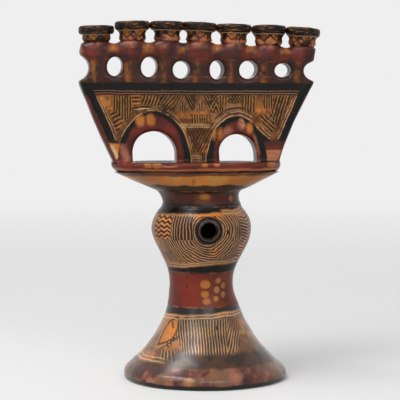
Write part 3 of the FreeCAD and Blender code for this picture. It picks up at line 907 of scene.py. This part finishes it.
def paint_wall():
    """The wall: a black band over a panel of ochre slip, cut with hatched triangles, and two arches."""
    slip = Slip("incised_wall")
    x, z = slip.x, slip.z
    corner = brush_corners(slip)
    left_ring = slip.oval(-48.0, 205.0, 34.5, 48.5)
    right_ring = slip.oval(31.0, 205.0, 29.0, 44.0)
    ringed = ring_arches(slip, left_ring & right_ring)
    sine, cosine = math.sin(WALL_LEAN), math.cos(WALL_LEAN)
    from_side = (z - WALL_SEAM).maths("MULTIPLY_ADD", sine, WALL_FOOT_HALF * cosine)
    from_side = abs(x + 6.3).maths("MULTIPLY_ADD", -cosine, from_side)
    panel, cuts = cut_panel(slip, from_side, left_ring, right_ring)
    ring = left_ring & right_ring
    inside = from_side.step(9.5, 11)
    top_lines = (z.band(269.9, 270.6) | z.band(272.2, 272.8)) & inside
    colour = slip.lay(
        panel,
        (BLACK, from_side.band(3.0, 9.9, 0.8)),
        (SOOT, (z.step(228, 224.5) & ring.step(0.0, 1.0)) & from_side.step(22, 10)),
        (corner, z.step(225.5, 223.5) & (x.step(-70, -78) | x.step(50, 54)) & ring.step(-3.5, -2.5)),
        (ringed, ring.step(0.3, -0.3)),
        (RED_BROWN, from_side.step(3.4, 2.6) * 0.9),
    )
    colour = slip.lay(
        colour,
        (RED, (z.band(268.2, 269.8) & x.band(-101, -71)) * 0.9),
        (BLACK, z.step(268.4, 269.4)),
        (TAN, top_lines * 0.8),
        (gallery_ground(slip, slip.grain(0.09)), z.step(279.6, 280.6)),
    )
    cuts = cuts & ring.step(-0.3, 0.3) & inside
    return slip.fire(colour, cuts * z.step(273.6, 273.0) * 0.9)


# The distance from the axis, degrees round from the front, the same folded so that the back mirrors the
# front, and that as millimetres along the surface.
Around = namedtuple("Around", "radius turn angle arc")


def about_axis(slip):
    """Where the brush is on a turned form."""
    radius = (slip.x * slip.x + slip.y * slip.y).maths("SQRT")
    turn = slip.x.maths("ARCTAN2", slip.y * -1.0) * math.degrees(1)
    folded = (turn + 90).maths("PINGPONG", 180) - 90
    return Around(radius, turn, folded, folded * radius * math.radians(1))


def paint_foot():
    """The foot: a comb of cuts over its front, a leaf beside it, and dark bands over a red lip with tan
    patches of painted sheen.
    """
    slip = Slip("incised_foot")
    around = about_axis(slip)
    # Marks keep their angle as the foot flares, so the angle is the way across for all but the combs.
    u = slip.x = around.angle * 0.8
    z, arc = slip.z, around.arc
    cloud = slip.grain(0.07, 3.0)
    ground = slip.lay(TAN, (BROWN, cloud.step(0.42, 0.58) * 0.8), (OCHRE, cloud.step(0.52, 0.40) * 0.7))
    blade = slip.leaf(-37.5, 60, -51.5, 37, 15.5)
    blade_edge = slip.leaf(-36.5, 62.5, -53.0, 34.5, 19.0)
    sprig = slip.stroke(-45, 57, -41, 51, 2.2, 0.8) | slip.stroke(-46, 32, -31.5, 44.5, 1.3, 0.7)
    comb, comb_ridge_highlights = cut_all(slip, (
        (0, 2.7, 1.3, (-37, 60), (19, 60), (15, 29), (-25, 29), (-34, 44)),
        (24, 2.9, 1.3, (19, 60), (35, 60), (30, 36), (15, 28)),
    ), arc)
    cuts, ridge_highlights = cut_all(slip, (
        (-30, 3.0, 1.4, (-46, 32), (-30, 32), (-27, 24), (-41, 24)),
        (None, 3.2, 0.9, (-43, 47), (-34, 47), (-37, 33), (-42, 35)),
    ))
    cuts |= comb
    ridge_highlights |= comb_ridge_highlights
    rows = (z.band(46, 53, 1.5) & u.band(-19, 15, 2)) | slip.dab(38, 49, 7, 4.5, 2.5)
    dot = slip.dab(8.5, 52, 1.8, 2.2, 1.0)
    lines = z + around.angle * -0.03
    pale = lines.band(61.0, 61.9) | lines.band(63.6, 64.4)
    pale |= (z.band(21.5, 22.5) | z.band(24.4, 25.3)) & u.step(-34, -40)
    smoke = z.band(17.5, 30.5, 4) & u.step(-36, -24)
    lip = slip.lay(
        RED_BROWN,
        (SOOT, cloud.step(0.48, 0.60) * 0.8),
        (ROSE, cloud.step(0.46, 0.34) * 0.4),
        # Tan patches on the lip are a painted sheen.
        (TAN, slip.grain(0.05).step(0.48, 0.62) * 0.5),
        (ROSE, slip.dab(11.5, 8.5, 3.2, 5.5, 3.5) * 0.5),
        (YELLOW_OCHRE, slip.dab(-14, 8, 3, 3.5, 2.5) * 0.5),
        # A painted sheen in tan at the lip's right.
        (TAN, slip.dab(45, 12, 8, 6, 4) * 0.5),
    )
    colour = slip.lay(
        ground,
        (YELLOW_OCHRE, rows * 0.75),
        (SOOT, cuts * 0.92),
        # Cream between the cuts is a painted highlight.
        (CREAM, ridge_highlights * 0.5),
        (SOOT, blade_edge * 0.9),
        (OCHRE, blade),
        (ORANGE, blade * cloud.step(0.42, 0.56) * 0.5),
        (SOOT, (sprig | dot) * 0.9),
        (BROWN, (z.band(48, 60, 2) & u.band(25, 40, 3)) * 0.6),
        (BLACK, smoke * 0.85),
        (BLACK, (z.band(15.0, 20.5, 1.5) & u.step(-34, -38)) * 0.8),
        (lip, z.step(19.5, 16.5)),
        (CREAM, pale * 0.72),
        (BLACK, lines.step(64.9, 65.7)),
        (BLACK, z.step(5.2, 3.6)),
        (BARE_CLAY, (around.radius.step(66, 62) | around.radius.step(74, 72)) & z.step(1.2, 0.6)),
    )
    return slip.fire(colour, (cuts | pale) * 0.9, 0.23, coat=0.5)


def paint_stem():
    """The stem: plain red, with a cluster of pale dots in front."""
    slip = Slip("red_stem")
    arc = slip.x = about_axis(slip).arc
    z = slip.z
    spots = ((-2, 92, 4.6, 4.2), (9.5, 86.5, 3.0, 3.0), (11, 95, 2.9, 2.6), (17, 90, 2.7, 2.6),
             (-2.5, 82.5, 3.6, 3.0), (-1, 76.5, 3.4, 2.8), (16.5, 82, 2.6, 2.6), (8, 78.5, 2.4, 2.3))
    dots = most(slip.dab(*spot, 1.4) for spot in spots)
    colour = slip.lay(
        RED,
        (BROWN, (arc.band(-7, 22, 4) & z.band(72, 98, 4)) * 0.6),
        (RED_BROWN, slip.grain(0.05, 3.0).step(0.45, 0.62) * 0.7),
        (OCHRE, dots * 0.8),
        (TAN, (dots & arc.step(4, 7)) * 0.6),
        (SOOT, slip.dab(-20, 90, 1.4, 1.2, 0.8) * 0.7),
        (BLACK, z.step(101.4, 102.6)),
    )
    return slip.fire(colour, gloss=0.34)


def paint_bulb():
    """The bulb: cuts that run round the ringed vent, with an ochre patch of zigzags on the left, and its
    inside behind the vent painted black as shade.
    """
    slip = Slip("incised_bulb", 0.75)
    around = about_axis(slip)
    u = slip.x = around.angle * 0.8
    z = slip.z
    reach = slip.oval(VENT_PLACE, VENT_LEVEL, 8.0, 8.0)
    vent = slip.oval(VENT_PLACE, VENT_LEVEL, 8.0, 8.0, *slip.true_place())
    front = around.turn.band(-89, 89, 2)
    cloud = slip.grain(0.08, 3.0)
    ground = slip.lay(TAN, (OCHRE, cloud.step(0.45, 0.6) * 0.6), (BROWN, cloud.step(0.47, 0.36) * 0.6))
    zigzag = z + u.maths("PINGPONG", 4.2) * 0.55
    left = slip.field(*box(-62, -38, 156, 134))
    upright = slip.field(*box(-38, -16, 156, 134))
    right = slip.field(*box(23.5, 32, 153, 134))
    level = slip.field((32, 156), (60, 156), (60, 112), (36, 112))
    whorl = z.band(113.5, 157, 1) & u.band(-50, 32, 2) & reach.step(5.2, 6.0)
    whorl &= 1 - (left | upright | right)
    round_vent = reach + slip.grain(0.05, 1.0) * 9
    zones = ((left, zigzag, 4.2, 2.2), (upright, u, 2.9, 1.5), (right, u, 2.6, 1.1),
             (level, z - abs(u - 45) * 0.2, 2.9, 1.2), (whorl, round_vent, 2.75, 1.25))
    cuts = most([zone & line.comb(pitch, width) for zone, line, pitch, width in zones])
    ridge_highlights = most([zone & (line + pitch / 2).comb(pitch, 0.55, 0.5) for zone, line, pitch, width in zones])
    brush = slip.field(*box(-16, 16, 160, 154), soft=2.0) | slip.field(*box(0, 8, 127, 119), soft=2.0)
    blush = slip.field(*box(-18, 2, 121, 115), soft=2.0) | slip.dab(-13, 128, 5, 2.6, 2.0)
    lines = z + around.angle * -0.04
    pale = lines.band(110.6, 111.4) | lines.band(113.0, 113.7)
    pale |= (lines.band(157.4, 158.2) | lines.band(160.0, 160.7)) & u.step(14, 17)
    ring = vent.band(-2.0, 5.0, 0.8) & front
    colour = slip.lay(
        ground,
        (ORANGE, left * 0.75),
        (RED_BROWN, (upright & u.step(-38, -31)) * 0.9),
        (ORANGE, brush * 0.75),
        (ROSE, blush * 0.6),
        (SOOT, cuts * 0.94),
        # Cream between the cuts is a painted highlight.
        (CREAM, ridge_highlights * 0.45),
        (SOOT, slip.dab(17.5, 142, 1.7, 1.7, 0.8) & front),
        (BLACK, ring),
        (TAN, (vent.band(1.1, 1.7) & front) * 0.5),
        (CREAM, pale * 0.62),
        (BLACK, lines.step(110.2, 108.8)),
        (BLACK, ((z - around.angle * 0.03).step(158.6, 160.2) & u.step(15, 12)) | lines.step(161.2, 162.2)),
        # The inside of the bulb, seen through the vent, is painted black: painted shade.
        (BLACK, around.radius.step(42.2, 41.4) & z.band(128, 156)),
    )
    return slip.fire(colour, (cuts | pale) * (1 - ring) * 0.9)


def paint_neck():
    """The neck: black below and above, with a worn red band between."""
    slip = Slip("black_neck")
    arc = slip.x = about_axis(slip).arc
    z = slip.z
    patches = slip.grain(0.09)
    spots = slip.dab(-4, 174.5, 4.5, 2.6, 2) | slip.dab(24, 172.5, 3.0, 2.6, 2)
    colour = slip.lay(
        SOOT,
        (RED_BROWN, z.band(167, 178, 2) * patches.step(0.35, 0.55) * 0.9),
        (BROWN, (arc.band(-13, 2, 4) & z.band(168, 177, 2)) * 0.8),
        (OCHRE, spots * 0.6),
        (BLACK, z.step(168.5, 166.0)),
        (BLACK, z.step(177.0, 178.6) * 0.8),
    )
    return slip.fire(colour)


def paint_tray():
    """The tray: ochre, over a black edge that wanders, under a brown line."""
    slip = Slip("ochre_tray")
    z = slip.z
    cloud = slip.grain(0.05, 3.0)
    colour = slip.lay(
        OCHRE,
        (YELLOW_OCHRE, cloud.step(0.48, 0.62) * 0.7),
        (TAN, cloud.step(0.46, 0.32) * 0.6),
        (SOOT, slip.dab(-14.5, 188, 1.6, 3.6) * 0.4),
        (BLACK, (z + slip.grain(0.05, 1.0) * 6).step(188.6, 187.2) * 0.92),
        (BROWN, z.step(193.2, 193.8) * 0.85),
        (PLUM, z.step(194.6, 195.4) * 0.8),
    )
    return slip.fire(colour, z.band(193.0, 193.9) * 0.8)


def paint_shelf():
    """The shelf: red, with brushed dabs on its rim, a rose line of painted glint along its front, rose of
    painted reflection low on the rim and a dark top.
    """
    slip = Slip("red_shelf")
    x, z = slip.x, slip.z
    spots = ((-56, 203.6, 3.6, 2.4), (-48.5, 203.6, 3.8, 2.4), (-5, 204.0, 3.0, 2.4),
             (6.5, 204.0, 2.8, 2.2), (62, 203.5, 5, 2.5))
    run = slip.streaks(0.05, 0.5)
    colour = slip.lay(
        RED,
        (RED_BROWN, run.step(0.44, 0.58) * 0.85),
        # A painted glint: the rose line along the front of the rim.
        (ROSE, (z.band(202.4, 203.6) & x.band(-44, -30, 3)) * 0.8),
        (OCHRE, most(slip.dab(*spot) for spot in spots) * 0.85),
        # Rose low on the rim and under it is a painted reflection of light from below.
        (ROSE, z.step(201.0, 199.6) * 0.5),
        (OCHRE, z.step(200.6, 199.6) * run.step(0.44, 0.56) * 0.7),
        (BLACK, z.step(198.4, 197.6) * run.step(0.58, 0.46) * 0.7),
        # The top face is painted dark.
        (SOOT, z.step(205.0, 205.5) * 0.9),
    )
    return slip.fire(colour, z.band(199.6, 200.4) * 0.7, z.step(204.6, 205.0) * 0.4 + 0.28)


def paint_cup(number):
    """A black lip over dark petals on ochre, a sooty funnel, and rose low on its body as a painted highlight.
    """
    slip = Slip(f"dark_cup_{number}", 0.35)
    seat = cup_seat(number)
    slope = math.tan(math.radians(CUP_LEANS[number - 1]))
    lip = seat.z + CUP_RIM + CUP_RISES[number - 1] - 7.0
    slip.x = slip.x - seat.x
    height = slip.z + slip.x * slope - lip
    around = about_axis(slip)
    turn = around.turn * math.radians(14.0)
    across = (turn + number * 3.7).maths("PINGPONG", 7.0)
    petal = slip.oval(-1.0, -4.6, 6.2, 2.2, across, height - across * 0.45)
    cloud = slip.grain(0.13)
    streaks = slip.streaks(0.16, 0.9)
    colour = slip.lay(
        RED_BROWN,
        (OCHRE, cloud.step(0.50, 0.60) * 0.8),
        (BLACK, cloud.step(0.50, 0.42) * 0.85),
        (BLACK, petal.band(-0.2, 1.4, 0.8)),
        (OCHRE, petal.step(0.2, -0.5) * cloud.step(0.38, 0.56) * 0.9),
        (BLACK, abs(petal + 1.1).step(0.5, 0.2) * 0.7),
        (SOOT, (turn.comb(2.9, 1.1) & height.band(-2.4, -0.6)) * 0.85),
        (CREAM, height.band(-1.7, -0.9) * 0.5),
        (BLACK, height.step(-0.7, 0.3)),
        (OCHRE, (height.step(0.3, 0.8) & streaks.step(0.56, 0.66)) * 0.5),
        # Rose low on the cup, by its seat, is a painted highlight.
        (ROSE, height.step(-8.0, -9.5) * cloud.step(0.40, 0.6) * 0.6),
        (SOOT, around.radius.step(12.6, 11.4) & height.step(-3.5, -2.5)),
    )
    return slip.fire(colour, height.band(-1.9, -1.0) * 0.7, 0.50, 0.7)


for name, node, slot, make, paint in (
    ("foot_skin", "foot", "incised_slip", make_foot, paint_foot),
    ("stem_skin", "stem", "red_slip", make_stem, paint_stem),
    ("bulb_skin", "bulb", "incised_slip", make_bulb, paint_bulb),
    ("neck_skin", "neck_collar", "black_slip", make_neck, paint_neck),
    ("tray_skin", "tray", "ochre_slip", make_tray, paint_tray),
    ("shelf_skin", "shelf", "red_slip", make_shelf, paint_shelf),
):
    finish_piece(name, make(), [node], paint())
for number in range(1, CANDLES + 1):
    mesh = make_cup(number)
    finish_piece(f"cup_skin_{number}", mesh, [f"candle_cup_{number}"], paint_cup(number))

body = press_upper_body()
mesh = cut_member("wall_panel", body, (UP, WALL_SEAM + 0.02, -1), (UP, PILLAR_SEAM, 1))
finish_piece("wall_skin", mesh, ["wall_panel"], paint_wall())
gallery_red = paint_gallery()
mesh = cut_member("crest", body, (UP, CREST_SEAM, -1))
finish_piece("crest_skin", mesh, ["crest"], gallery_red)
for number in range(1, CANDLES + 1):
    left = PITCH * (number - 4.5)
    cuts = ((UP, PILLAR_SEAM, -1), (UP, CREST_SEAM, 1), (ACROSS, left, -1), (ACROSS, left + PITCH, 1))
    mesh = cut_member(f"pillar_{number}", body, *cuts)
    finish_piece(f"pillar_skin_{number}", mesh, [f"pillar_{number}"], gallery_red)
body.free()

# The backdrop as the camera sees it, and the paper and the room as they light the pot.
BACKDROP_TONE = 0.86
PAPER_TONE = 0.76
ROOM_TONE = 0.33


def grey(tone):
    """A neutral colour."""
    return tone, tone, tone, 1.0


def stage_paper():
    """Plain pale paper that keeps the shadow and fades into the backdrop far behind it."""
    material = bpy.data.materials.new("pale_paper")
    material.use_nodes = True
    paper = Bench(material.node_tree)
    shader = paper.tree.nodes["Principled BSDF"]
    for name, value in (("Base Color", grey(PAPER_TONE)), ("Roughness", 0.9), ("Specular IOR Level", 0.1)):
        shader.inputs[name].default_value = value
    away = paper.vector("LENGTH", {0: paper.node("ShaderNodeTexCoord", output="Object")}, "Value")
    glow = paper.seen() * (away.step(0.45, 2.6) * 0.9 + 0.1)
    values = {"Color": grey(1.0), "Strength": BACKDROP_TONE}
    bright = paper.node("ShaderNodeEmission", None, values, "Emission")
    lit = Tone(paper, shader.outputs["BSDF"])
    both = paper.node("ShaderNodeMixShader", None, {0: glow, 1: lit, 2: bright}, "Shader")
    paper.tree.links.new(both.socket, paper.tree.nodes["Material Output"].inputs["Surface"])
    return material


bpy.ops.mesh.primitive_plane_add(size=60)
floor = bpy.context.object
floor.name = "floor"
floor.data.materials.append(stage_paper())

world = bpy.data.worlds.new("room")
bpy.context.scene.world = world
world.use_nodes = True
room = Bench(world.node_tree)
sky = room.mix(grey(ROOM_TONE), grey(BACKDROP_TONE), room.seen())
room.tree.links.new(sky.socket, room.tree.nodes["Background"].inputs["Color"])

bpy.context.scene.view_settings.view_transform = "Standard"


def hang_lamp(name, kind, place, aim, power, size):
    """A sun of an angle, or an area lamp of two sides, turned to what it lights."""
    lamp = bpy.data.lights.new(name, kind)
    lamp.energy = power
    if kind == "SUN":
        lamp.angle = size
    else:
        lamp.shape = "RECTANGLE"
        lamp.size, lamp.size_y = size
    holder = add_object(name, lamp)
    holder.location = place
    holder.rotation_euler = (Vector(aim) - Vector(place)).to_track_quat("-Z", "Y").to_euler()


hang_lamp("window", "SUN", (-0.9, -0.85, 1.45), (0, 0, 0.15), 1.0, math.radians(35))
hang_lamp("soft_key", "AREA", (-0.60, -0.20, 1.32), (0, 0, 0.05), 9.5, (1.0, 0.26))
hang_lamp("front_fill", "AREA", (0.3, -2.1, 1.3), (0, 0, 0.15), 14, (1.6, 1.2))
hang_lamp("back_fill", "AREA", (0.6, 2.2, 1.4), (0, 0, 0.15), 9, (1.6, 1.2))

# The camera stands a little to the left and above the crest's foot, and looks slightly down.
VIEW_AWAY = 1.368
VIEW_HEIGHT = 0.252
VIEW_YAW = math.radians(9.0)
VIEW_TURN = math.radians(0.10)
VIEW_DOWN = math.radians(3.46)

view = bpy.data.cameras.new("camera")
view.sensor_width = 36.0
view.lens = 129.6
camera = add_object("camera", view)
camera.location = (-VIEW_AWAY * math.sin(VIEW_YAW), -VIEW_AWAY * math.cos(VIEW_YAW), VIEW_HEIGHT)
camera.rotation_euler = (math.pi / 2 - VIEW_DOWN, 0, VIEW_TURN - VIEW_YAW)
bpy.context.scene.camera = camera
